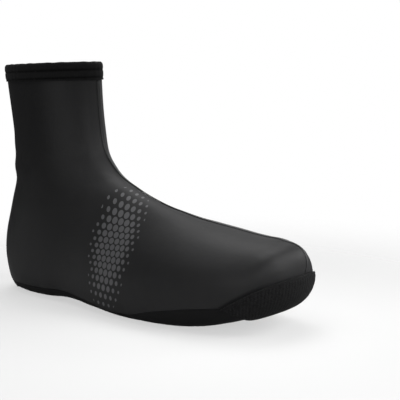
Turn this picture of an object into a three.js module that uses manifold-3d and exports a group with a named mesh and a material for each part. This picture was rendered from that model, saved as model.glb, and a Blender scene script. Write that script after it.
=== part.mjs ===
// A cycling overshoe for the right foot: a neoprene bootee that is pulled over a
// cycling shoe. While it is modelled, X runs from heel to toe, Y towards the
// inner side of the foot and Z up from the floor. Lengths are in millimetres.
import * as THREE from 'three';
import { mergeVertices } from 'three/addons/utils/BufferGeometryUtils.js';
import Module from 'manifold-3d';

const wasm = await Module();
wasm.setup();

// Driving sizes, over the outside of the overshoe
const shoeLength = 307;
const ballWidth = 106;
const heelWidth = 75;
const instepHeight = 98;
const collarHeight = 201;
const collarDepth = 94;
const collarWidth = 73;
const archRise = 5;
const toeSpring = 22;

// Thickness of each material, and the gap that joined pieces keep
const wall = 2.5;
const soleWall = 2.2;
const cuffThickness = 1.1;
const seamThickness = 0.8;
const guardThickness = 1.8;
const gap = 0.3;

// Sizes of the sole, the trims and the opening for the cleat
const soleEdgeRadius = 8;
const soleWrap = 18.5;
const cuffHeight = 14.5;
const seamWidth = 6;
const guardLength = 43;
const guardHeight = 47;
const cleatOpeningLength = 76;
const cleatOpeningWidth = 62;
const cleatOpeningRadius = 24;
const cleatOpeningFromHeel = 232;

// How finely the faces are divided
const sideSteps = 18;
const ringSpacing = 0.5;
const joinSteps = 48;
const foldSteps = 5;

// Sections of the shoe, from the collar down the leg and then along the foot.
// Each lies in a plane square to the XZ plane, from a point on the front or top
// line of the shoe to one on its back or bottom line. Its lengths are shares of
// the sizes in "follows". The belly is where it is widest, as a share from back
// to front. A bow of 2 makes half an ellipse, and a larger one is squarer.
const columns = [
  'frontX', 'frontZ', 'backX', 'backZ', 'outer', 'inner', 'swing', 'belly', 'frontBow', 'backBow',
];
const shaftSections = {
  follows: [
    collarDepth, collarHeight, collarDepth, collarHeight, collarWidth, collarWidth, collarWidth, 1, 1, 1,
  ],
  rows: [
    [1.018, 1.010, 0.025, 0.990, 0.50, 0.50, 0, 0.50, 2.1, 2.1],
    [1.030, 0.910, 0.050, 0.900, 0.49, 0.49, 0, 0.50, 2.1, 2.1],
    [1.048, 0.812, 0.088, 0.787, 0.48, 0.48, 0, 0.50, 2.1, 2.1],
    [1.075, 0.720, 0.125, 0.660, 0.48, 0.48, 0, 0.50, 2.1, 2.1],
    [1.122, 0.644, 0.125, 0.528, 0.49, 0.49, 0, 0.48, 2.0, 2.1],
  ],
};
const rearfootSections = {
  follows: [
    shoeLength, instepHeight, shoeLength, instepHeight, heelWidth, heelWidth, heelWidth, 1, 1, 1,
  ],
  rows: [
    [0.369, 1.215, 0.033, 0.840, 0.52, 0.52, 0, 0.46, 2.0, 2.2],
    [0.404, 1.120, 0.010, 0.560, 0.53, 0.53, 0, 0.43, 2.0, 2.2],
    [0.444, 1.048, 0.000, 0.270, 0.54, 0.54, 0, 0.39, 2.0, 2.25],
    [0.489, 0.988, 0.042, -0.060, 0.53, 0.53, 0, 0.37, 2.0, 2.3],
    [0.535, 0.938, 0.150, -0.110, 0.52, 0.52, 0, 0.35, 2.0, 2.4],
    [0.582, 0.893, 0.268, -0.110, 0.54, 0.52, 0, 0.35, 2.0, 2.5],
  ],
};
const forefootSections = {
  follows: [
    shoeLength, instepHeight, shoeLength, instepHeight, ballWidth, ballWidth, ballWidth, 1, 1, 1,
  ],
  rows: [
    [0.632, 0.855, 0.398, -0.110, 0.44, 0.41, 0.00, 0.36, 2.0, 2.7],
    [0.686, 0.823, 0.507, -0.110, 0.48, 0.46, 0.01, 0.38, 2.0, 2.8],
    [0.745, 0.791, 0.605, -0.110, 0.50, 0.49, 0.02, 0.40, 2.1, 2.8],
    [0.805, 0.760, 0.694, -0.100, 0.49, 0.49, 0.04, 0.42, 2.2, 2.8],
    [0.859, 0.730, 0.782, -0.070, 0.465, 0.475, 0.06, 0.44, 2.2, 2.7],
    [0.909, 0.712, 0.856, 0.010, 0.42, 0.43, 0.08, 0.45, 2.2, 2.6],
    [0.951, 0.687, 0.916, 0.095, 0.355, 0.375, 0.09, 0.46, 2.2, 2.4],
    [0.978, 0.631, 0.960, 0.185, 0.26, 0.28, 0.11, 0.47, 2.1, 2.2],
    [0.992, 0.532, 0.989, 0.290, 0.15, 0.165, 0.125, 0.48, 2.0, 2.0],
    [1.000, 0.415, 1.000, 0.415, 0.00, 0.00, 0.13, 0.50, 2.0, 2.0],
  ],
};
const allSections = [shaftSections, rearfootSections, forefootSections].flatMap(({ follows, rows }) =>
  rows.map((row) => row.map((share, column) => share * follows[column])),
);
const lastStation = allSections.length - 1;
const sectionCurves = new THREE.CubicInterpolant(
  allSections.map((row, index) => index),
  allSections.flat(),
  columns.length,
);

// The section at a station, where whole numbers are the rows of the tables
function sectionAt(station) {
  const values = sectionCurves.evaluate(station);
  return Object.fromEntries(columns.map((column, index) => [column, values[index]]));
}

// Height of the underside: level at heel and ball, with an arch and a toe spring
const archStart = 0.17 * shoeLength;
const archEnd = 0.54 * shoeLength;
const springStart = 0.7 * shoeLength;
const springBow = 1.7;
function undersideHeight(x) {
  const arch = Math.sin((Math.PI * (x - archStart)) / (archEnd - archStart));
  const inArch = x > archStart && x < archEnd;
  const spring = Math.max(0, x - springStart) / (shoeLength - springStart);
  return (inArch ? archRise * arch ** 2 : 0) + toeSpring * spring ** springBow;
}

// How far the sole comes up the side above the underside, in shares of the length
// and of soleWrap
const wrapColumns = ['fromHeel', 'rise'];
const wrapRows = [
  [0.00, 0.56],
  [0.10, 0.58],
  [0.20, 0.59],
  [0.28, 0.47],
  [0.36, 0.32],
  [0.44, 0.31],
  [0.52, 0.27],
  [0.59, 0.36],
  [0.67, 0.72],
  [0.75, 0.93],
  [0.82, 0.91],
  [0.87, 0.80],
  [0.93, 0.55],
  [1.00, 0.40],
];
const wrapCurve = new THREE.CubicInterpolant(
  wrapRows.map((row) => row[wrapColumns.indexOf('fromHeel')] * shoeLength),
  wrapRows.map((row) => row[wrapColumns.indexOf('rise')] * soleWrap),
  1,
);

// A point of the outer face, at a station and an angle round its section: 0 is
// the front or top line, Math.PI the back or bottom line, and between them lies
// the outer side of the foot. The bottom is pressed flat with a rounded edge.
function facePoint(station, angle) {
  const section = sectionAt(station);
  const back = new THREE.Vector3(section.backX, section.swing, section.backZ);
  const front = new THREE.Vector3(section.frontX, section.swing, section.frontZ);
  const [ahead, aside] = [Math.cos(angle), Math.sin(angle)];
  const power = 2 / (ahead >= 0 ? section.frontBow : section.backBow);
  const reach = Math.abs(ahead) ** power;
  const depth = ahead >= 0 ? 1 - section.belly : -section.belly;
  const width = aside > 0 ? -section.outer : section.inner;
  const point = back.lerp(front, section.belly + depth * reach);
  point.y += width * Math.abs(aside) ** power;
  const floor = undersideHeight(point.x);
  const blend = Math.max(0, soleEdgeRadius - Math.abs(point.z - floor)) / soleEdgeRadius;
  point.z = Math.max(point.z, floor) + (blend ** 2 * soleEdgeRadius) / 4;
  return point;
}

// Which way the face runs at a point, over a small step along and round the shoe
const tangentStep = 0.01;
function faceTangents(station, angle) {
  const middle = THREE.MathUtils.clamp(station, tangentStep, lastStation - 5 * tangentStep);
  return {
    along: facePoint(middle + tangentStep, angle).sub(facePoint(middle - tangentStep, angle)),
    round: facePoint(middle, angle + tangentStep).sub(facePoint(middle, angle - tangentStep)),
  };
}

function faceNormal(station, angle) {
  if (station === lastStation) return new THREE.Vector3(1, 0, 0);
  const { along, round } = faceTangents(station, angle);
  return round.cross(along).normalize();
}

function offsetPoint(station, angle, distance) {
  return facePoint(station, angle).addScaledVector(faceNormal(station, angle), distance);
}

// Where a falling function passes zero, between two values
const halvings = 40;
function solve(fall, low, high) {
  let [from, to] = [low, high];
  for (let step = 0; step < halvings; step++) {
    const middle = (from + to) / 2;
    if (fall(middle) > 0) from = middle;
    else to = middle;
  }
  return (from + to) / 2;
}

// Angles that divide a stretch of a section into even steps, which are shorter
// where it turns. Each radian of turning counts as much as turnLength.
const tracePoints = 120;
const turnLength = 12;
function evenAngles(station, from, to, steps) {
  const angles = Array.from({ length: tracePoints + 1 }, (_, index) =>
    THREE.MathUtils.lerp(from, to, index / tracePoints),
  );
  const points = angles.map((angle) => facePoint(station, angle));
  const hops = points.slice(1).map((point, index) => point.clone().sub(points[index]));
  const lengths = [0];
  hops.forEach((hop, index) => {
    const turned = index && hop.length() > 0 ? hop.angleTo(hops[index - 1]) : 0;
    lengths.push(lengths[index] + hop.length() + turnLength * turned);
  });
  const total = lengths.at(-1);
  const isPoint = points[0].distanceTo(points[tracePoints / 2]) === 0;
  return Array.from({ length: steps + 1 }, (_, step) => {
    if (step === steps || isPoint) return THREE.MathUtils.lerp(from, to, step / steps);
    const wanted = (total * step) / steps;
    const next = Math.max(1, lengths.findIndex((length) => length >= wanted));
    const share = (wanted - lengths[next - 1]) / (lengths[next] - lengths[next - 1]);
    return THREE.MathUtils.lerp(angles[next - 1], angles[next], share);
  });
}

// One closed ring of the shoe, from the back or bottom line round to it again
function closedRing(station) {
  const innerHalf = evenAngles(station, 0, -Math.PI, sideSteps).reverse();
  return { station, angles: [...innerHalf, ...evenAngles(station, 0, Math.PI, sideSteps).slice(1)] };
}

const ringCount = Math.round(lastStation / ringSpacing);
const ringStations = Array.from({ length: ringCount + 1 }, (_, ring) => (lastStation * ring) / ringCount);
const rings = ringStations.map(closedRing);

// Makes a closed solid of quads whose corners run anticlockwise seen from outside
const mergeDistance = 0.001;
function solidOf(quads) {
  const merged = mergeVertices(new THREE.BufferGeometry().setFromPoints(quads.flat()), mergeDistance);
  const faces = new Map();
  quads.forEach((quad, index) => {
    const corners = quad.map((point, corner) => merged.index.getX(4 * index + corner));
    const key = corners.toSorted((a, b) => a - b).join();
    // Two walls that lie back to back, where a ring closes on itself, drop out
    if (faces.has(key)) faces.delete(key);
    else faces.set(key, corners);
  });
  const triangles = [...faces.values()].flatMap(([a, b, c, d]) => [[a, b, c], [a, c, d]]);
  merged.setIndex(triangles.filter((triangle) => new Set(triangle).size === 3).flat());
  return merged;
}

function gridQuads(rows) {
  const quads = [];
  for (let row = 1; row < rows.length; row++) {
    for (let column = 1; column < rows[row].length; column++) {
      const [above, below] = [rows[row - 1], rows[row]];
      quads.push([above[column - 1], above[column], below[column], below[column - 1]]);
    }
  }
  return quads;
}

// A sheet between two faces given as rows of points, closed along its border
function sheetSolid(outerRows, innerRows) {
  const [lastRow, lastColumn] = [outerRows.length - 1, outerRows[0].length - 1];
  const border = [];
  for (let column = 0; column < lastColumn; column++) border.push([0, column]);
  for (let row = 0; row < lastRow; row++) border.push([row, lastColumn]);
  for (let column = lastColumn; column > 0; column--) border.push([lastRow, column]);
  for (let row = lastRow; row > 0; row--) border.push([row, 0]);
  const walls = border.map(([row, column], index) => {
    const [nextRow, nextColumn] = border[(index + 1) % border.length];
    return [
      outerRows[nextRow][nextColumn],
      outerRows[row][column],
      innerRows[row][column],
      innerRows[nextRow][nextColumn],
    ];
  });
  const innerQuads = gridQuads(innerRows).map((quad) => quad.toReversed());
  return solidOf([...gridQuads(outerRows), ...innerQuads, ...walls]);
}

function faceRows(rings, distance) {
  return rings.map(({ station, angles }) => angles.map((angle) => offsetPoint(station, angle, distance)));
}

// A sheet on or in the shoe's own face, between two distances outward from it
function fittedSheet(rings, outward, inward) {
  return sheetSolid(faceRows(rings, outward), faceRows(rings, inward));
}

function toManifold(geometry) {
  const bare = new THREE.BufferGeometry().setIndex(geometry.index);
  bare.setAttribute('position', geometry.getAttribute('position'));
  const merged = mergeVertices(bare, mergeDistance);
  return new wasm.Manifold(
    new wasm.Mesh({
      numProp: 3,
      vertProperties: new Float32Array(merged.getAttribute('position').array),
      triVerts: new Uint32Array(merged.index.array),
    }),
  );
}

function fromManifold(manifold) {
  const mesh = manifold.getMesh();
  const geometry = new THREE.BufferGeometry();
  geometry.setAttribute('position', new THREE.BufferAttribute(mesh.vertProperties, 3));
  return geometry.setIndex(new THREE.BufferAttribute(mesh.triVerts, 1));
}

// Everything below the line where upper and sole join, moved up by a shift
function blockBelowJoin(shift) {
  const outline = new THREE.Shape();
  outline.moveTo(shoeLength + heelWidth, -instepHeight);
  outline.lineTo(-heelWidth, -instepHeight);
  for (let step = 0; step <= joinSteps; step++) {
    const x = THREE.MathUtils.lerp(-heelWidth, shoeLength + heelWidth, step / joinSteps);
    const reached = THREE.MathUtils.clamp(x, 0, shoeLength);
    outline.lineTo(x, undersideHeight(x) + wrapCurve.evaluate(reached)[0] + shift);
  }
  return acrossShoe(outline);
}

// A solid with a given side view, through the whole width of the shoe
function acrossShoe(outline) {
  const depth = 2 * ballWidth;
  const block = new THREE.ExtrudeGeometry(outline, { depth, bevelEnabled: false, curveSegments: 4 });
  return toManifold(block.rotateX(Math.PI / 2).translate(0, ballWidth, 0));
}

// Upper: one neoprene wall from the collar to the toe, open below
const upperShell = toManifold(fittedSheet(rings, 0, -wall));
const upper = fromManifold(upperShell.subtract(blockBelowJoin(gap / 2)));

// Sole: the panel that closes the upper below and wraps up its sides, with an
// opening for the cleat, in the middle of the section at the ball
const ballStation = lastStation - 5;
function cleatCutter() {
  const [halfLength, halfWidth] = [cleatOpeningLength / 2, cleatOpeningWidth / 2];
  const [sideX, sideY] = [halfLength - cleatOpeningRadius, halfWidth - cleatOpeningRadius];
  const outline = new THREE.Shape();
  outline.absarc(sideX, sideY, cleatOpeningRadius, 0, Math.PI / 2);
  outline.absarc(-sideX, sideY, cleatOpeningRadius, Math.PI / 2, Math.PI);
  outline.absarc(-sideX, -sideY, cleatOpeningRadius, Math.PI, Math.PI * 1.5);
  outline.absarc(sideX, -sideY, cleatOpeningRadius, Math.PI * 1.5, Math.PI * 2);
  const depth = toeSpring + 2 * soleWall;
  const cutter = new THREE.ExtrudeGeometry(outline, { depth, bevelEnabled: false, curveSegments: 6 });
  return cutter.translate(cleatOpeningFromHeel, sectionAt(ballStation).swing, -soleWall);
}

const soleShell = toManifold(fittedSheet(rings, 0, -soleWall));
const solePanel = soleShell.intersect(blockBelowJoin(-gap / 2));
const sole = fromManifold(solePanel.subtract(toManifold(cleatCutter())));

// Cuff: an elastic band folded over the collar, with a leg on each face of the wall
const foldRise = wall / 2 + gap + cuffThickness;
const cuffEnd = (cuffHeight - foldRise) / facePoint(0, 0).distanceTo(facePoint(1, 0));
const cuffRings = [0, cuffEnd / 2, cuffEnd].map(closedRing);

// Rows of the fold, from just inside the outer leg to just inside the inner one
function cuffFold(radius) {
  return Array.from({ length: foldSteps - 1 }, (_, index) => {
    const turned = (Math.PI * (index + 1)) / foldSteps;
    return cuffRings[0].angles.map((angle) => {
      const outward = faceNormal(0, angle);
      const up = faceTangents(0, angle).along.negate().projectOnPlane(outward).normalize();
      return offsetPoint(0, angle, -wall / 2)
        .addScaledVector(outward, radius * Math.cos(turned))
        .addScaledVector(up, radius * Math.sin(turned));
    });
  });
}

const cuffOutside = [
  ...faceRows(cuffRings, gap + cuffThickness).toReversed(),
  ...cuffFold(foldRise),
  ...faceRows(cuffRings, -wall - gap - cuffThickness),
];
const cuffInside = [
  ...faceRows(cuffRings, -wall - gap).toReversed(),
  ...cuffFold(wall / 2 + gap).toReversed(),
  ...faceRows(cuffRings, gap),
];
const cuffLoop = [...cuffOutside, ...cuffInside, cuffOutside[0]];
const cuff = solidOf(gridQuads(cuffLoop.toReversed()));

// Side view of the toe guard, in shares of guardLength back from the tip and of
// guardHeight: its top edge, then its rear edge down to the underside
const guardColumns = ['behindTip', 'height'];
const guardTopRows = [
  [1.00, 0.47],
  [0.75, 0.62],
  [0.37, 0.83],
  [0.17, 0.92],
  [0.03, 0.985],
  [-0.20, 1.05],
];
const guardRearRows = [
  [0.62, 0.10],
  [0.64, 0.22],
  [0.69, 0.32],
  [0.80, 0.40],
];

// A block with that side view, grown all round by a margin, across the whole shoe
function guardBlock(margin) {
  const toPoint = (row) =>
    new THREE.Vector2(
      shoeLength - row[guardColumns.indexOf('behindTip')] * guardLength - margin,
      row[guardColumns.indexOf('height')] * guardHeight + margin,
    );
  const outline = new THREE.Shape();
  const [rearTop, ...topRest] = guardTopRows.map(toPoint);
  const beyond = topRest.at(-1).x;
  outline.moveTo(rearTop.x, rearTop.y);
  outline.splineThru(topRest);
  outline.lineTo(beyond, -guardHeight);
  outline.lineTo(guardRearRows.map(toPoint)[0].x, -guardHeight);
  guardRearRows.map(toPoint).forEach((point) => outline.lineTo(point.x, point.y));
  return acrossShoe(outline);
}

// Toe guard: a woven cap over the toe, cut from a shell round the front of the shoe
const guardShellStart = lastStation - 6;
const guardRings = rings.filter(({ station }) => station > guardShellStart);
const guardShell = toManifold(fittedSheet(guardRings, gap + guardThickness, gap));
const toeGuard = fromManifold(guardShell.intersect(guardBlock(0)));

// Front seam: a raised tape down the front of the leg and the top of the foot. It
// keeps to the inner side of the front line, most at the toe, where the toe guard
// ends it. Each row has a station and the angle there.
const seamColumns = ['station', 'angle'];
const seamRows = [
  [0, -0.25],
  [5, -0.24],
  [9, -0.17],
  [14, -0.14],
  [16, -0.20],
  [18, -0.44],
  [19, -0.62],
  [20, -0.70],
];
const seamCurve = new THREE.CubicInterpolant(
  seamRows.map((row) => row[seamColumns.indexOf('station')]),
  seamRows.map((row) => row[seamColumns.indexOf('angle')]),
  1,
);

function seamRing(station) {
  const middle = seamCurve.evaluate(station)[0];
  const centre = facePoint(station, middle);
  const edge = (side) => {
    const reached = (turned) => facePoint(station, middle + side * turned).distanceTo(centre);
    return middle + side * solve((turned) => seamWidth / 2 - reached(turned), 0, Math.PI / 2);
  };
  return { station, angles: [edge(-1), middle, edge(1)] };
}

const seamStart = cuffEnd * (1 + gap / (cuffHeight - foldRise));
const seamEnd = lastStation - ringSpacing;
const seamStations = ringStations.filter((station) => station > seamStart && station <= seamEnd);
const seamRings = [seamStart, ...seamStations].map(seamRing);
const seamTape = fittedSheet(seamRings, gap + seamThickness, gap);
const frontSeam = fromManifold(toManifold(seamTape).subtract(guardBlock(gap)));

// Materials
const neoprene = new THREE.MeshStandardMaterial({ color: 0x1a1a1c, roughness: 0.45, metalness: 0 });
const soleRubber = new THREE.MeshStandardMaterial({ color: 0x121213, roughness: 0.75, metalness: 0 });
const elastic = new THREE.MeshStandardMaterial({ color: 0x131315, roughness: 0.9, metalness: 0 });
const tape = new THREE.MeshStandardMaterial({ color: 0x19191b, roughness: 0.4, metalness: 0 });
const woven = new THREE.MeshStandardMaterial({ color: 0x151516, roughness: 0.85, metalness: 0 });

function piece(name, geometry, material) {
  geometry.computeVertexNormals();
  const mesh = new THREE.Mesh(geometry, material);
  mesh.name = name;
  return mesh;
}

// The origin is on the floor, under the middle of the overshoe
const overshoe = new THREE.Group();
overshoe.add(
  piece('upper', upper, neoprene),
  piece('sole', sole, soleRubber),
  piece('cuff', cuff, elastic),
  piece('front_seam', frontSeam, tape),
  piece('toe_guard', toeGuard, woven),
);
const middle = new THREE.Box3().setFromObject(overshoe).getCenter(new THREE.Vector3());
overshoe.position.set(-middle.x, -middle.y, 0);

export default overshoe;
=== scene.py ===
import math

import bpy
import numpy as np
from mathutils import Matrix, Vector
from mathutils.kdtree import KDTree


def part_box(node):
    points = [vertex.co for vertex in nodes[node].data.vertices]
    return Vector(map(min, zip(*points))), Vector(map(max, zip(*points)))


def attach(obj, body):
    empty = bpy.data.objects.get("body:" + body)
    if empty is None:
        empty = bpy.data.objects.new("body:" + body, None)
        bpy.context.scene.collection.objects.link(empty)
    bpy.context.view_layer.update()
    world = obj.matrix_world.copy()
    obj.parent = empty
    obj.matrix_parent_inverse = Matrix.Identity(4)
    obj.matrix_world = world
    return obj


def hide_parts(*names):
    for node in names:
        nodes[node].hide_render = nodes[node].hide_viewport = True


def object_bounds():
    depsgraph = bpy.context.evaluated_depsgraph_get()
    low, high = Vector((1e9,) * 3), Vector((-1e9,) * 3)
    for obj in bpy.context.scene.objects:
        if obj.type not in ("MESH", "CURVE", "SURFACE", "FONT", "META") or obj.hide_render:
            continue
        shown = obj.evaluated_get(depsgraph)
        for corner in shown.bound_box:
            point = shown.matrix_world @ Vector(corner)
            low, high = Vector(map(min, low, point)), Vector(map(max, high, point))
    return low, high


# A cycling overshoe for the right foot. Places on it are written as a shoemaker
# measures them, in millimetres: from the heel forward, from the middle towards
# the inner side of the foot, and up from the floor.
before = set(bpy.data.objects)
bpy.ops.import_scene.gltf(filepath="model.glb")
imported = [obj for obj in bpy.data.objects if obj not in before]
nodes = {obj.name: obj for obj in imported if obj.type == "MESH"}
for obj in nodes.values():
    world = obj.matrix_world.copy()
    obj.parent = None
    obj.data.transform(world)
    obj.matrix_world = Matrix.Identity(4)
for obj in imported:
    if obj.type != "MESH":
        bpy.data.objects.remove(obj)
cadLow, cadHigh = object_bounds()
millimetre = 0.001
middleY = sum(corner.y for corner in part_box("upper")) / 2
heel = np.array([cadLow.x, middleY, 0])
print("frame loaded", [round(size / millimetre) for size in cadHigh - cadLow])


def place(fromHeel, inward, up):
    return heel + np.array([fromHeel, inward, up]) * millimetre


# Selecting, copying and moving, as by hand
def selectOnly(piece):
    for other in bpy.context.selected_objects:
        other.select_set(False)
    bpy.context.view_layer.objects.active = piece
    piece.select_set(True)


def pointsOf(piece):  # in metres, a row for each vertex
    points = np.empty(len(piece.data.vertices) * 3)
    piece.data.vertices.foreach_get("co", points)
    return points.reshape(-1, 3)


def normalsOf(piece):
    normals = np.empty(len(piece.data.vertices) * 3)
    piece.data.vertex_normals.foreach_get("vector", normals)
    return normals.reshape(-1, 3)


def movePoints(piece, points):
    piece.data.vertices.foreach_set("co", points.ravel())
    piece.data.update()


def applyAll(piece):
    selectOnly(piece)
    for modifier in list(piece.modifiers):
        bpy.ops.object.modifier_apply(modifier=modifier.name)


modelling = {
    "mergeDistance": 0.02 * millimetre,
    "quadAngle": math.radians(60),
    "sharpAngle": math.radians(50),
    "smoothAngle": math.radians(40),
}


# A smooth copy of a node, with its sharp edges kept as far as crispness says
def copyOf(node, name, subdivisions, crispness=1):
    piece = bpy.data.objects.new(name, nodes[node].data.copy())
    bpy.context.collection.objects.link(piece)
    piece.data.materials.clear()
    selectOnly(piece)
    bpy.ops.object.mode_set(mode="EDIT")
    bpy.ops.mesh.select_mode(type="EDGE")
    bpy.ops.mesh.select_all(action="SELECT")
    bpy.ops.mesh.remove_doubles(threshold=modelling["mergeDistance"])
    bpy.ops.mesh.tris_convert_to_quads(
        face_threshold=modelling["quadAngle"], shape_threshold=math.pi)
    bpy.ops.mesh.select_all(action="DESELECT")
    bpy.ops.mesh.edges_select_sharp(sharpness=modelling["sharpAngle"])
    bpy.ops.transform.edge_crease(value=crispness)
    bpy.ops.object.mode_set(mode="OBJECT")
    if piece.data.has_custom_normals:
        bpy.ops.mesh.customdata_custom_splitnormals_clear()
    smooth = piece.modifiers.new("smooth", "SUBSURF")
    smooth.levels = smooth.render_levels = subdivisions
    applyAll(piece)
    bpy.ops.object.shade_smooth_by_angle(angle=modelling["smoothAngle"])
    return piece


def finishPiece(piece, replaced=None):
    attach(piece, "root")
    if replaced:
        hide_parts(replaced)
    print(piece.name, len(piece.data.polygons), "faces")


# Which way is out: away from a line through the middle of leg and foot
insideLine = [
    (50, 0, 215), (52, 0, 130), (60, 0, 85),
    (100, 0, 50), (200, 0, 34), (290, 5, 36),
]
insideSteps = 50
insideFalloff = 4


def outwardAt(points):
    order = range(len(insideLine))
    steps = np.linspace(0, len(insideLine) - 1, insideSteps)
    corners = np.array([place(*spot) for spot in insideLine])
    line = np.stack([np.interp(steps, order, corners[:, axis]) for axis in range(3)], 1)
    distances = np.linalg.norm(points[:, None] - line, axis=2)
    weights = (distances / millimetre) ** (-2 * insideFalloff)
    middle = weights @ line / weights.sum(1)[:, None]
    outward = points - middle
    return outward / np.linalg.norm(outward, axis=1)[:, None]


# Creases: soft troughs, with a depth above 0, and ridges, below 0, along short
# lines, in millimetres. The whole wall moves with each, and so does all that
# lies on it.
creases = {
    "heel tendon": {
        "line": [(0, -4, 108), (24, -34, 102), (50, -40, 97)],
        "depth": 1.5, "width": 12},
    "over the tendon": {
        "line": [(10, -16, 116), (30, -32, 113), (46, -38, 109)],
        "depth": -1.4, "width": 7},
    "above the tendon": {
        "line": [(8, -10, 132), (22, -30, 134)],
        "depth": -0.6, "width": 7},
    "toe box, outer side": {
        "line": [(287, 13, 69), (288, 3, 67), (286, -12, 62)],
        "depth": 1.0, "width": 6},
    "top of the toe": {
        "line": [(286, 18, 69), (293, 18, 67), (301, 19, 61)],
        "depth": -1.7, "width": 12},
    "along the seam": {
        "line": [(226, 12, 79), (262, 15, 73)],
        "depth": -0.9, "width": 14},
    "toe box, outer end of its crease": {
        "line": [(282, -22, 57), (273, -33, 48)],
        "depth": 0.5, "width": 8},
    "toe box, inner side": {
        "line": [(286, 26, 63), (270, 46, 46)],
        "depth": 0.9, "width": 7},
    "front of the toe": {
        "line": [(303, 6, 56), (298, -15, 52)],
        "depth": -0.7, "width": 9},
    "instep": {
        "line": [(142, -2, 99), (165, -4, 91), (190, -3, 84)],
        "depth": -1.9, "width": 17},
    "vamp": {
        "line": [(210, 0, 80), (250, 4, 73), (282, 9, 69)],
        "depth": -0.9, "width": 17},
    "back of the heel": {
        "line": [(16, -32, 56), (16, -32, 36)],
        "depth": -1.4, "width": 15},
    "heel cup": {
        "line": [(6, -12, 15), (30, -34, 15), (70, -40, 13)],
        "depth": -1.5, "width": 14},
    "side of the toe box": {
        "line": [(235, -42, 44), (270, -36, 42)],
        "depth": -1.2, "width": 12},
    "front of the ankle": {
        "line": [(106, -28, 106), (118, -26, 98), (132, -21, 95)],
        "depth": -0.9, "width": 11},
    "ankle, outer side": {
        "line": [(66, -40, 97), (80, -39, 90), (97, -37, 84)],
        "depth": 1.1, "width": 11},
    "ankle, inner side": {
        "line": [(100, 22, 114), (82, 38, 98), (64, 42, 82)],
        "depth": 0.8, "width": 9},
    "ball, inner side": {
        "line": [(214, 38, 60), (204, 50, 36)],
        "depth": 0.6, "width": 8},
    "shaft, outer side": {
        "line": [(84, -32, 150), (60, -38, 138)],
        "depth": 0.4, "width": 10},
}


def distanceToLine(points, line):
    best = np.full(len(points), np.inf)
    for start, end in zip(line, line[1:]):
        step = end - start
        share = np.clip((points - start) @ step / (step @ step), 0, 1)
        best = np.minimum(best, np.linalg.norm(points - start - share[:, None] * step, axis=1))
    return best


def crease(piece):
    points = pointsOf(piece)
    outward = outwardAt(points)
    shift = np.zeros(len(points))
    for fold in creases.values():
        line = np.array([place(*spot) for spot in fold["line"]])
        reach = distanceToLine(points, line) / (fold["width"] * millimetre)
        shift += fold["depth"] * millimetre * np.exp(-reach ** 2)
    movePoints(piece, points - outward * shift[:, None])


# Materials
class Wire:  # an output of a material's node, which can stand in sums and products
    def __init__(self, tree, socket=None):
        self.tree = tree
        self.socket = socket

    def node(self, kind, settings=None, values=None, output=0):
        new = self.tree.nodes.new("ShaderNode" + kind)
        for name, setting in (settings or {}).items():
            setattr(new, name, setting)
        for name, value in (values or {}).items():
            if isinstance(value, Wire):
                self.tree.links.new(value.socket, new.inputs[name])
            else:
                new.inputs[name].default_value = value
        return Wire(self.tree, new.outputs[output]) if new.outputs else None

    def maths(self, operation, *values):
        return self.node("Math", {"operation": operation}, dict(enumerate(values)))

    def __add__(self, other):
        return self.maths("ADD", self, other)

    def __sub__(self, other):
        return self.maths("SUBTRACT", self, other)

    def __rsub__(self, other):
        return self.maths("SUBTRACT", other, self)

    def __mul__(self, other):
        return self.maths("MULTIPLY", self, other)

    def __truediv__(self, other):
        return self.maths("DIVIDE", self, other)

    __radd__ = __add__
    __rmul__ = __mul__


def newMaterial(name):
    material = bpy.data.materials.new(name)
    material.use_nodes = True
    material.node_tree.nodes.clear()
    return material, Wire(material.node_tree)


def finishMaterial(start, surface):
    shader = start.node("BsdfPrincipled", None, surface)
    start.node("OutputMaterial", None, {"Surface": shader})


def spotOf(start):  # where a point is on its piece, in metres
    return start.node("TexCoord", output="Object")


def spotOn(start, turn=(0, 0, 0), stretch=(1, 1, 1)):  # the same, turned or stretched
    mapping = {"Vector": spotOf(start), "Rotation": turn, "Scale": stretch}
    return start.node("Mapping", None, mapping)


def axesOf(start, spot):
    return [start.node("SeparateXYZ", None, {"Vector": spot}, axis) for axis in range(3)]


def toShare(wave):  # from between -1 and 1 to between 0 and 1
    return wave * 0.5 + 0.5


def blend(one, other, share):
    return one * share + other * (1 - share)


def grain(start, spot, size, detail=2):  # noise with features of about that size
    return start.node("TexNoise", None, {"Vector": spot, "Scale": 1 / size, "Detail": detail})


def smoothStep(start, value, low, high):
    return start.node("MapRange", {"interpolation_type": "SMOOTHSTEP"}, {
        "Value": value, "From Min": low, "From Max": high})


def bump(start, height, depth, below=None):
    values = {"Strength": 1, "Distance": depth, "Height": height}
    if below:
        values["Normal"] = below
    return start.node("Bump", None, values)


# Colours or wires, from low to high as the mask goes up. A mix node has its
# colours on sockets 6 and 7 and gives the mixed colour on socket 2.
def mixColours(start, mask, low, high):
    colours = [side if isinstance(side, Wire) else (*side, 1) for side in (low, high)]
    return start.node("Mix", {"data_type": "RGBA"}, {0: mask, 6: colours[0], 7: colours[1]}, 2)


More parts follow.
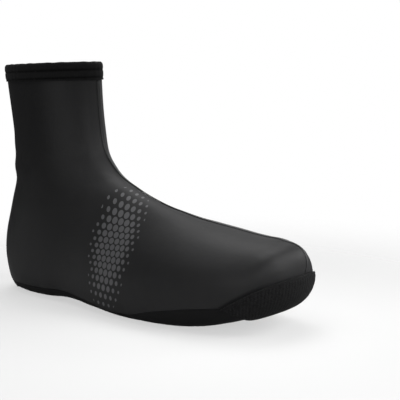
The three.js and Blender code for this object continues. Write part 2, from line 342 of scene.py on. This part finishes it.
neopreneFinish = {
    "dark": (0.0078, 0.0078, 0.0084),
    "light": (0.0168, 0.0168, 0.0178),
    "blotchSize": 24 * millimetre,
    "streak": (1, 1, 0.25),
    "grainSize": 0.45 * millimetre,
    "grainDepth": 0.05 * millimetre,
    "wrinkleSize": 9 * millimetre,
    "wrinkleDepth": 0.24 * millimetre,
    "roughness": (0.50, 0.60),
    "gloss": 0.36,
}
dotPrint = {
    "centre": (152, 62),
    "girthAxis": (0, 36),
    "girthRadius": 46 * millimetre,
    "halfSize": (27 * millimetre, 50 * millimetre),
    "pitch": 6.4 * millimetre,
    "dotRadius": (1.2 * millimetre, 2.85 * millimetre),
    "edgeSoftness": 0.25 * millimetre,
    "fullUpTo": 0.15,
    "firstCell": -100,  # far behind the shoe, so that all cells on it count up from 0
    "colour": (0.122, 0.122, 0.127),
    "beadSize": 0.5 * millimetre,
    "beadCover": (0.7, 1.3),
}


def printMask(start):  # round dots in rows, large in the middle of a long oval, small at its rim
    x, y, z = axesOf(start, spotOf(start))
    ahead, angle = dotPrint["centre"]
    centreX, axisY, axisZ = place(ahead, *dotPrint["girthAxis"])
    centreGirth = math.radians(angle) * dotPrint["girthRadius"]
    girth = start.maths("ARCTAN2", axisY - y, z - axisZ) * dotPrint["girthRadius"] - centreGirth
    along = x - centreX
    halfLength, halfGirth = dotPrint["halfSize"]
    rim = start.maths("POWER", along / halfLength, 2) + start.maths("POWER", girth / halfGirth, 2)
    small, large = dotPrint["dotRadius"]
    size = large - (large - small) * smoothStep(start, rim, dotPrint["fullUpTo"], 1)
    rowPitch = dotPrint["pitch"] * math.sqrt(3)
    nearest = None
    for offset in (0, 0.5):  # two grids of dots, each in the gaps of the other
        fromFirst = offset - dotPrint["firstCell"]
        cellX = start.maths("FRACT", along / dotPrint["pitch"] + fromFirst) - 0.5
        cellY = start.maths("FRACT", girth / rowPitch + fromFirst) - 0.5
        squares = (start.maths("POWER", cellX * dotPrint["pitch"], 2)
                   + start.maths("POWER", cellY * rowPitch, 2))
        distance = start.maths("SQRT", squares)
        nearest = start.maths("MINIMUM", nearest, distance) if nearest else distance
    dots = smoothStep(start, size - nearest, 0, dotPrint["edgeSoftness"])
    return dots * start.maths("LESS_THAN", rim, 1) * start.maths("LESS_THAN", y, heel[1])


def makeNeoprene():
    material, start = newMaterial("coatedNeoprene")
    finish = neopreneFinish
    spot = spotOn(start)
    fine = grain(start, spot, finish["grainSize"])
    blotch = grain(start, spotOn(start, stretch=finish["streak"]), finish["blotchSize"])
    wrinkles = grain(start, spot, finish["wrinkleSize"], 3)
    beads = grain(start, spot, dotPrint["beadSize"], 0)
    low, high = finish["roughness"]
    leastCover, mostCover = dotPrint["beadCover"]
    cover = printMask(start) * (leastCover + (mostCover - leastCover) * beads)
    plain = mixColours(start, blotch, finish["dark"], finish["light"])
    relief = bump(start, wrinkles, finish["wrinkleDepth"])
    finishMaterial(start, {
        "Base Color": mixColours(start, cover, plain, dotPrint["colour"]),
        "Roughness": blotch * (high - low) + low,
        "Specular IOR Level": finish["gloss"],
        "Normal": bump(start, fine, finish["grainDepth"], relief),
    })
    return material


liningFinish = {
    "dark": (0.008, 0.008, 0.008),
    "light": (0.016, 0.016, 0.017),
    "pileSize": 0.9 * millimetre,
    "pileDepth": 0.3 * millimetre,
    "roughness": 0.95,
    "gloss": 0.1,
    "sheen": 0.15,
}


def makeLining():
    material, start = newMaterial("fleeceLining")
    finish = liningFinish
    pile = grain(start, spotOn(start), finish["pileSize"], 3)
    finishMaterial(start, {
        "Base Color": mixColours(start, pile, finish["dark"], finish["light"]),
        "Roughness": finish["roughness"],
        "Specular IOR Level": finish["gloss"],
        "Sheen Weight": finish["sheen"],
        "Normal": bump(start, pile, finish["pileDepth"]),
    })
    return material


soleFinish = {
    "dark": (0.0060, 0.0060, 0.0064),
    "light": (0.0110, 0.0110, 0.0116),
    "pitch": 1.3 * millimetre,
    "turn": (0.3, 0.2, 0.7),
    "lean": 0.3,
    "speckSize": 0.6 * millimetre,
    "clothInColour": 0.5,
    "clothInRelief": 0.6,
    "depth": 0.12 * millimetre,
    "roughness": (0.55, 0.75),
    "gloss": 0.15,
}


def weave(start, pitch, turn, lean):  # threads that pass over and under each other
    x, y, z = axesOf(start, spotOn(start, turn))
    turns = 2 * math.pi / pitch
    one = start.maths("SINE", (x + y) * turns)
    other = start.maths("SINE", (z + (x - y) * lean) * turns)
    return toShare(one * other)


def makeSoleRubber():
    material, start = newMaterial("soleRubber")
    finish = soleFinish
    cloth = weave(start, finish["pitch"], finish["turn"], finish["lean"])
    specks = grain(start, spotOn(start), finish["speckSize"], 3)
    low, high = finish["roughness"]
    shade = blend(cloth, specks, finish["clothInColour"])
    relief = blend(cloth, specks, finish["clothInRelief"])
    finishMaterial(start, {
        "Base Color": mixColours(start, shade, finish["dark"], finish["light"]),
        "Roughness": specks * (high - low) + low,
        "Specular IOR Level": finish["gloss"],
        "Normal": bump(start, relief, finish["depth"]),
    })
    return material


collar = place(46, 0, 0)
cuffFinish = {
    "dark": (0.0090, 0.0090, 0.0094),
    "light": (0.0205, 0.0205, 0.0212),
    # painted shade: a near-black colour laid into the two stitched grooves, where shade falls
    "paintedGrooveShade": (0.0010, 0.0010, 0.0010),
    "grooveShade": 0.9,
    "ribs": 230,
    "ribDepth": 0.18 * millimetre,
    "ribShare": 0.7,
    "coursePitch": 0.9 * millimetre,
    "fuzzSize": 0.5 * millimetre,
    "knitInColour": 0.6,
    "knitInRelief": 0.7,
    "roughness": 0.9,
    "gloss": 0.1,
    "sheen": 0.05,
}


def makeElastic():
    material, start = newMaterial("knittedElastic")
    finish = cuffFinish
    spot = spotOf(start)
    x, y, z = axesOf(start, spot)
    angle = start.maths("ARCTAN2", y - collar[1], x - collar[0])
    ribs = toShare(start.maths("SINE", angle * finish["ribs"]))
    courses = toShare(start.maths("SINE", z * (2 * math.pi / finish["coursePitch"])))
    knit = blend(ribs, courses, finish["ribShare"])
    fuzz = grain(start, spot, finish["fuzzSize"], 3)
    groove = start.node("Attribute", {"attribute_name": "groove"}, output="Fac")
    shade = blend(knit, fuzz, finish["knitInColour"])
    relief = blend(knit, fuzz, finish["knitInRelief"])
    cloth = mixColours(start, shade, finish["dark"], finish["light"])
    finishMaterial(start, {
        # The grooves are pressed in as shape and also get painted shade: the knit colour goes
        # towards near black by the groove mask
        "Base Color": mixColours(start, groove * finish["grooveShade"], cloth, finish["paintedGrooveShade"]),
        "Roughness": finish["roughness"],
        "Specular IOR Level": finish["gloss"],
        "Sheen Weight": finish["sheen"],
        "Normal": bump(start, relief, finish["ribDepth"]),
    })
    return material


guardCentre = place(252, 8, 0)
guardFinish = {
    "dark": (0.0020, 0.0020, 0.0022),
    "light": (0.0165, 0.0165, 0.0173),
    "ribPitch": 2.4 * millimetre,
    "rowPitch": 1.7 * millimetre,
    "radius": 46 * millimetre,
    "depth": 0.5 * millimetre,
    "threadsInRelief": 0.8,
    "threadContrast": 0.5,
    "fuzzSize": 1.1 * millimetre,
    "fuzzContrast": 2.4,
    "roughness": 0.85,
    "gloss": 0.2,
    "bindingColour": (0.011, 0.011, 0.0115),
    "bindingEnd": 2.4,  # in millimetres from the rim, as is the softness
    "bindingSoftness": 0.3,
}


def makeWoven():
    material, start = newMaterial("coarseWeave")
    finish = guardFinish
    spot = spotOf(start)
    x, y, z = axesOf(start, spot)
    fromRim = start.node("Attribute", {"attribute_name": "fromRim"}, output="Fac")
    end, softness = finish["bindingEnd"], finish["bindingSoftness"]
    binding = 1 - smoothStep(start, fromRim, end - softness, end + softness)
    angle = start.maths("ARCTAN2", y - guardCentre[1], x - guardCentre[0])
    across = angle * finish["radius"]
    ribs = start.maths("SINE", across * (2 * math.pi / finish["ribPitch"]))
    rows = start.maths("SINE", z * (2 * math.pi / finish["rowPitch"]))
    threads = toShare(ribs * toShare(rows) * (1 - binding))
    fuzz = grain(start, spot, finish["fuzzSize"], 3)
    shade = (threads - 0.5) * finish["threadContrast"] + (fuzz - 0.5) * finish["fuzzContrast"] + 0.5
    cloth = mixColours(start, shade, finish["dark"], finish["light"])
    finishMaterial(start, {
        "Base Color": mixColours(start, binding, cloth, finish["bindingColour"]),
        "Roughness": finish["roughness"],
        "Specular IOR Level": finish["gloss"],
        "Normal": bump(start, blend(threads, fuzz, finish["threadsInRelief"]), finish["depth"]),
    })
    return material


plainFinish = {
    "fuzzSize": 0.4 * millimetre,
    "fuzzDepth": 0.05 * millimetre,
    "darkest": 0.8,
}


def makePlain(name, look):
    material, start = newMaterial(name)
    fuzz = grain(start, spotOn(start), plainFinish["fuzzSize"])
    darker = tuple(shade * plainFinish["darkest"] for shade in look["colour"])
    finishMaterial(start, {
        "Base Color": mixColours(start, fuzz, darker, look["colour"]),
        "Roughness": look["roughness"],
        "Specular IOR Level": look["gloss"],
        "Normal": bump(start, fuzz, plainFinish["fuzzDepth"]),
    })
    return material


# Stitches: one soft oval of thread, repeated along a line and joined
stitch = {
    "length": 2.4 * millimetre,
    "thickness": 0.55 * millimetre,
    "pitch": 3.0 * millimetre,
    "segments": 8,
    "rings": 6,
    "colour": (0.012, 0.012, 0.012),
    "roughness": 0.6,
    "gloss": 0.3,
}
threadMaterial = makePlain("thread", stitch)


def stitchAlong(name, points, closed):
    curve = bpy.data.curves.new(name + "Line", "CURVE")
    curve.dimensions = "3D"
    spline = curve.splines.new("POLY")
    spline.points.add(len(points) - 1)
    for spot, point in zip(points, spline.points):
        point.co = (*spot, 1)
    spline.use_cyclic_u = closed
    line = bpy.data.objects.new(name + "Line", curve)
    bpy.context.collection.objects.link(line)
    selectOnly(line)
    bpy.ops.mesh.primitive_uv_sphere_add(
        segments=stitch["segments"], ring_count=stitch["rings"],
        radius=0.5, rotation=(0, math.pi / 2, 0))
    row = bpy.context.object
    row.name = name
    bpy.ops.object.transform_apply(rotation=True)
    bpy.ops.object.mode_set(mode="EDIT")
    bpy.ops.mesh.select_all(action="SELECT")
    bpy.ops.transform.resize(value=(stitch["length"], stitch["thickness"], stitch["thickness"]))
    bpy.ops.object.mode_set(mode="OBJECT")
    repeat = row.modifiers.new("repeat", "ARRAY")
    repeat.fit_type = "FIT_CURVE"
    repeat.curve = line
    repeat.use_relative_offset = False
    repeat.use_constant_offset = True
    repeat.constant_offset_displace = (stitch["pitch"], 0, 0)
    follow = row.modifiers.new("follow", "CURVE")
    follow.object = line
    applyAll(row)
    bpy.ops.object.shade_smooth()
    bpy.data.objects.remove(line)
    row.data.materials.append(threadMaterial)
    return row


# Where heights pass zero on the outer face, in order round a centre
def lineAcross(piece, heights, outer, centre):
    points = pointsOf(piece)
    crossings = []
    for edge in piece.data.edges:
        a, b = edge.vertices
        if outer[a] and outer[b] and heights[a] * heights[b] < 0:
            share = heights[a] / (heights[a] - heights[b])
            crossings.append(points[a] + (points[b] - points[a]) * share)
    crossings = np.array(crossings)
    around = np.arctan2(crossings[:, 1] - centre[1], crossings[:, 0] - centre[0])
    return crossings[np.argsort(around)]


# Upper: coated neoprene outside, fleece inside
upper = copyOf("upper", "neopreneUpper", 2)
crease(upper)
upper.data.materials.append(makeNeoprene())
upper.data.materials.append(makeLining())
faceMiddles = np.array([face.center for face in upper.data.polygons])
faceNormals = np.array([face.normal for face in upper.data.polygons])
facesInside = np.sum(faceNormals * outwardAt(faceMiddles), 1) < 0
upper.data.polygons.foreach_set("material_index", facesInside.astype(int))
finishPiece(upper, "upper")

# Sole
sole = copyOf("sole", "wrapSole", 2)
crease(sole)
sole.data.materials.append(makeSoleRubber())
finishPiece(sole, "sole")

# Cuff: an elastic band with two stitched rows, a little gathered by its thread.
# Its sizes are in millimetres, and its waves and gathers are counted round it.
cuffShape = {
    "topFront": (95.7, 205.5),
    "topBack": (2.4, 201.5),
    "rise": 1.6,
    "riseOver": 5,
    "wobble": 0.18,
    "rows": (5.4, 12.0),
    "grooveDepth": 0.45,
    "grooveWidth": 0.9,
    "gathers": 46,
    "gatherDepth": 0.10,
    "gatherDrift": (7, 1),
    "gatherInGroove": 0.5,
    "wobbleWaves": (23, 5),
    "wobbleStart": 2,
    "facing": 0.4,
    "stitchFacing": 0.2,
}


def belowTop(points):  # how far points lie below the top of the cuff, in millimetres
    frontX, frontZ = cuffShape["topFront"]
    backX, backZ = cuffShape["topBack"]
    ahead = (points[:, 0] - heel[0]) / millimetre
    top = backZ + (frontZ - backZ) * (ahead - backX) / (frontX - backX)
    return top - points[:, 2] / millimetre


cuff = copyOf("cuff", "foldedCuff", 3)
crease(cuff)
points = pointsOf(cuff)
outward = outwardAt(points)
faces = np.sum(normalsOf(cuff) * outward, 1) > cuffShape["facing"]
depth = belowTop(points)
around = np.arctan2(points[:, 1] - collar[1], points[:, 0] - collar[0])
groove = sum(np.exp(-((depth - row) / cuffShape["grooveWidth"]) ** 2) for row in cuffShape["rows"])
drift, driftStart = cuffShape["gatherDrift"]
gather = np.sin(around * cuffShape["gathers"]) * np.sin(around * drift + driftStart)
gather *= 1 - cuffShape["gatherInGroove"] * groove
shift = cuffShape["grooveDepth"] * groove - cuffShape["gatherDepth"] * gather
quick, slow = cuffShape["wobbleWaves"]
wobble = np.sin(around * quick) * np.sin(around * slow + cuffShape["wobbleStart"])
rise = cuffShape["rise"] + cuffShape["wobble"] * wobble
rise *= np.clip(1 - depth / cuffShape["riseOver"], 0, 1)
points[:, 2] += rise * millimetre
movePoints(cuff, points - outward * (shift * faces * millimetre)[:, None])
grooveAttribute = cuff.data.attributes.new("groove", "FLOAT", "POINT")
grooveAttribute.data.foreach_set("value", groove)
cuff.data.materials.append(makeElastic())
finishPiece(cuff, "cuff")

outer = np.sum(normalsOf(cuff) * outward, 1) > cuffShape["stitchFacing"]
for number, depthBelow in enumerate(cuffShape["rows"]):
    line = lineAcross(cuff, depth - depthBelow, outer, collar)
    finishPiece(stitchAlong(f"cuffStitches{number + 1}", line, True))

# Front seam: a tape with soft edges, bonded down on the upper
tapeSettings = {
    "crispness": 0.2,
    "sink": 0.65 * millimetre,
    "colour": (0.016, 0.016, 0.017),
    "roughness": 0.42,
    "gloss": 0.45,
}
tape = copyOf("front_seam", "seamTape", 2, tapeSettings["crispness"])
points = pointsOf(tape)
outward = outwardAt(points)
movePoints(tape, points - outward * tapeSettings["sink"])
crease(tape)
tape.data.materials.append(makePlain("bondedTape", tapeSettings))
finishPiece(tape, "front_seam")

# Toe guard: coarse weave, its top edge bound and stitched
guardShape = {
    "rimSink": 1.1 * millimetre,
    "rimSoftness": 1.6 * millimetre,
    "grooveDepth": 0.35 * millimetre,
    "grooveWidth": 0.45,
    "stitches": 1.3,  # in millimetres, as is the width of the groove
    "cutUp": 0.5,
    "cutAcross": 0.2,
    "cutOutward": 0.75,
    "faceOutward": 0.7,
}


# Where the outer face meets the cut along the top, which runs level across the shoe
def topRimOf(piece):
    outerOnes, cutOnes = set(), set()
    middles = np.array([face.center for face in piece.data.polygons])
    for face, outward in zip(piece.data.polygons, outwardAt(middles)):
        isUp = face.normal.z > guardShape["cutUp"]
        isLevel = abs(face.normal.y) < guardShape["cutAcross"]
        outwardShare = face.normal @ Vector(outward)
        if isUp and isLevel and outwardShare < guardShape["cutOutward"]:
            cutOnes.update(face.vertices)
        elif outwardShare > guardShape["faceOutward"]:
            outerOnes.update(face.vertices)
    return pointsOf(piece)[sorted(cutOnes & outerOnes)]


def distancesTo(points, others):
    tree = KDTree(len(others))
    for index, other in enumerate(others):
        tree.insert(other, index)
    tree.balance()
    return np.array([tree.find(point)[2] for point in points])


guard = copyOf("toe_guard", "toeGuard", 3)
points = pointsOf(guard)
outward = outwardAt(points)
fromRim = distancesTo(points, topRimOf(guard))
faces = np.sum(normalsOf(guard) * outward, 1) > 0
sink = guardShape["rimSink"] * np.exp(-(fromRim / guardShape["rimSoftness"]) ** 2)
pastBinding = fromRim / millimetre - guardFinish["bindingEnd"]
sink += guardShape["grooveDepth"] * np.exp(-(pastBinding / guardShape["grooveWidth"]) ** 2)
movePoints(guard, points - outward * (sink * faces)[:, None])
crease(guard)
rimAttribute = guard.data.attributes.new("fromRim", "FLOAT", "POINT")
rimAttribute.data.foreach_set("value", fromRim / millimetre)
guard.data.materials.append(makeWoven())
finishPiece(guard, "toe_guard")
line = lineAcross(guard, fromRim / millimetre - guardShape["stitches"], faces, guardCentre)
finishPiece(stitchAlong("guardStitches", line, False))

# Camera: at the photo's angle, ahead of the outer side
cameraSettings = {
    "place": (0.5690, -0.6347, 0.2163),
    "turn": 38.765,
    "tilt": 8.344,
    "focalLength": 91.72,
}


def makeCamera():
    camera = bpy.data.objects.new("camera", bpy.data.cameras.new("camera"))
    bpy.context.collection.objects.link(camera)
    camera.data.lens = cameraSettings["focalLength"]
    camera.location = cameraSettings["place"]
    camera.rotation_euler = (
        math.radians(90 - cameraSettings["tilt"]), 0, math.radians(cameraSettings["turn"]))
    bpy.context.scene.camera = camera


# Studio: a pale floor under a bright backdrop, and soft lights in a dim room
studio = {
    "floorColour": (0.94, 0.94, 0.94),
    "floorRoughness": 0.9,
    "floorGloss": 0.1,
    "floorSize": 4,
    "fade": (0.14, 0.52),
    "floorCover": 0.45,
    "backdrop": 1.0,
    "room": 0.1,
    "wholeShoe": (0, 0, 0.06),
    "toeBox": (0.14, -0.02, 0.045),
    "heelFoot": (-0.14, -0.035, 0.015),
    "lights": [
        {"name": "aboveInner", "from": (-0.285, 0.494, 1.284), "at": "wholeShoe",
         "size": (0.9, 0.7), "power": 7.9, "spread": 180},
        {"name": "aboveOuter", "from": (-0.285, -0.494, 1.284), "at": "wholeShoe",
         "size": (0.9, 0.7), "power": 3.15, "spread": 180},
        {"name": "outerSide", "from": (0.452, -1.241, 0.341), "at": "wholeShoe",
         "size": (1.2, 0.7), "power": 2.8, "spread": 180},
        {"name": "innerSide", "from": (-0.66, 1.144, 0.341), "at": "wholeShoe",
         "size": (0.9, 0.7), "power": 1.7, "spread": 180},
        {"name": "toeAhead", "from": (0.58, 0.10, 0.22), "at": "toeBox",
         "size": (0.4, 0.3), "power": 0.088, "spread": 40},
        {"name": "toeAbove", "from": (0.45, 0.10, 0.40), "at": "toeBox",
         "size": (0.4, 0.3), "power": 0.134, "spread": 40},
        {"name": "toeInner", "from": (0.35, 0.45, 0.25), "at": "toeBox",
         "size": (0.4, 0.3), "power": 0.095, "spread": 40},
        {"name": "toeOuter", "from": (0.55, -0.25, 0.25), "at": "toeBox",
         "size": (0.4, 0.3), "power": 0.058, "spread": 40},
        {"name": "heelLow", "from": (-0.62, -0.40, 0.04), "at": "heelFoot",
         "size": (0.25, 0.1), "power": 0.0065, "spread": 20},
    ],
}


def makeFloor():  # pale, and fading into the backdrop away from the shoe
    material, start = newMaterial("paleFloor")
    away = start.node("VectorMath", {"operation": "LENGTH"}, {0: spotOf(start)}, "Value")
    finishMaterial(start, {
        "Base Color": (*studio["floorColour"], 1),
        "Roughness": studio["floorRoughness"],
        "Specular IOR Level": studio["floorGloss"],
        "Alpha": (1 - smoothStep(start, away, *studio["fade"])) * studio["floorCover"],
    })
    return material


def makeStudio():
    selectOnly(upper)
    bpy.ops.mesh.primitive_plane_add(size=studio["floorSize"])
    floor = bpy.context.object
    floor.name = "floor"
    floor.data.materials.append(makeFloor())
    world = bpy.data.worlds.new("studio")
    world.use_nodes = True
    tree = world.node_tree
    background = tree.nodes["Background"]
    background.inputs["Color"].default_value = (1, 1, 1, 1)
    room = Wire(tree)
    seen = room.node("LightPath", output="Is Camera Ray")
    tree.links.new(
        (seen * (studio["backdrop"] - studio["room"]) + studio["room"]).socket,
        background.inputs["Strength"])
    bpy.context.scene.world = world
    for light in studio["lights"]:
        data = bpy.data.lights.new(light["name"], "AREA")
        data.shape = "RECTANGLE"
        data.size, data.size_y = light["size"]
        data.energy = light["power"]
        data.spread = math.radians(light["spread"])
        lamp = bpy.data.objects.new(light["name"], data)
        bpy.context.collection.objects.link(lamp)
        lamp.location = light["from"]
        lamp.visible_camera = False
        aim = Vector(light["from"]) - Vector(studio[light["at"]])
        lamp.rotation_euler = aim.to_track_quat("Z", "Y").to_euler()


makeCamera()
makeStudio()
bpy.context.scene.view_settings.view_transform = "Standard"
print("studio ready")
